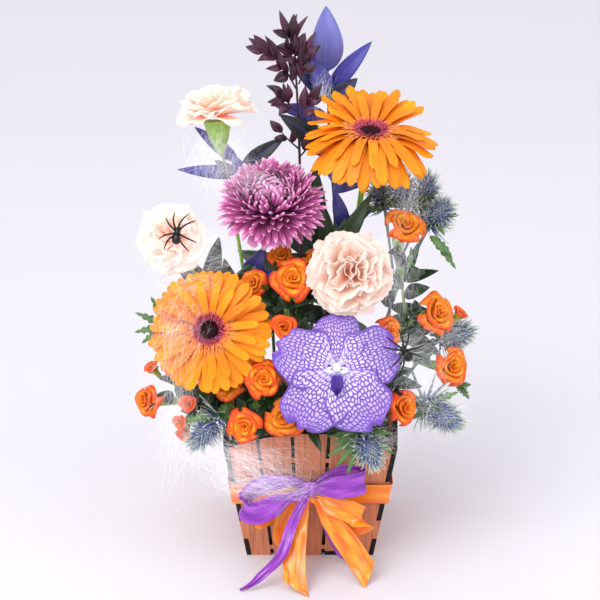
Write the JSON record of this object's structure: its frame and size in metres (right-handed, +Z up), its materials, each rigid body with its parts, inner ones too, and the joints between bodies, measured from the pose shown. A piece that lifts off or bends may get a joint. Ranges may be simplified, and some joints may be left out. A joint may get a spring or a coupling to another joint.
{
  "type": "flower basket arrangement",
  "caption": "Tapered slatted plywood basket of cut flowers in wet foam: gerberas, spray roses, an orchid, carnations and sea holly, tied with satin ribbons in a bow.",
  "frame": {"origin": "centre of the basket's underside, on the surface it stands on", "axes": "+Z up through the flowers, -Y out of the front panel with the bow, +X to the viewer's right"},
  "size_m": [0.2884, 0.2347, 0.47],
  "materials": {
    "wood": "laser-cut plywood, reddish face, sealed satin",
    "liner": "dark waterproof film",
    "foam": "wet floral foam, open-celled, matte",
    "ribbon_orange": "satin ribbon, glossy weave",
    "ribbon_purple": "satin ribbon, glossy weave",
    "gerbera_ray": "fresh petal, soft satin, lengthwise ribs",
    "gerbera_eye": "dark florets with pale tips, matte",
    "chrysanthemum": "fresh petal, satin, pale tips",
    "carnation": "fresh ruffled petal, matte",
    "orchid": "fresh petal, waxy, paler net of veins",
    "rose": "fresh petal, satin, yellow at the foot",
    "stem": "fresh green stem, waxy",
    "sea_holly": "dry spiny bracts, matte steel blue",
    "ruscus": "dyed leaf, satin blue violet",
    "burgundy": "leathery leaf, satin burgundy",
    "green": "fresh leaf, waxy dark green",
    "spider": "moulded black plastic, semi-gloss",
    "web": "fine white teased fibre"
  },
  "bodies": {
    "root": {"bow_orange": "ribbon_orange", "bow_purple": "ribbon_purple", "burgundy_spray": "burgundy", "carnation_left": "carnation", "carnation_left_stem": "stem", "carnation_middle": "carnation", "carnation_middle_stem": "stem", "carnation_top_left": "carnation", "carnation_top_left_stem": "stem", "chrysanthemum": "chrysanthemum", "chrysanthemum_stem": "stem", "cobweb": "web", "floor": "wood", "foam": "foam", "gerbera_left_eye": "gerbera_eye", "gerbera_left_rays": "gerbera_ray", "gerbera_left_stem": "stem", "gerbera_top_eye": "gerbera_eye", "gerbera_top_rays": "gerbera_ray", "gerbera_top_stem": "stem", "greens_back": "green", "greens_front": "green", "greens_left": "green", "greens_right": "green", "liner": "liner", "orchid": "orchid", "orchid_stem": "stem", "panel_back": "wood", "panel_front": "wood", "panel_left": "wood", "panel_right": "wood", "ribbon_orange_band": "ribbon_orange", "ribbon_purple_band": "ribbon_purple", "rose_01": "rose", "rose_02": "rose", "rose_03": "rose", "rose_04": "rose", "rose_05": "rose", "rose_06": "rose", "rose_07": "rose", "rose_08": "rose", "rose_09": "rose", "rose_10": "rose", "rose_11": "rose", "rose_12": "rose", "rose_13": "rose", "rose_14": "rose", "rose_spray_front": "stem", "rose_spray_left": "stem", "rose_spray_low_right": "stem", "rose_spray_middle": "stem", "rose_spray_right": "stem", "ruscus_left": "ruscus", "ruscus_top": "ruscus", "sea_holly_left": "sea_holly", "sea_holly_right": "sea_holly", "sea_holly_rim": "sea_holly", "sea_holly_top": "sea_holly", "spider_left": "spider", "spider_right": "spider"}
  },
  "joints": []
}
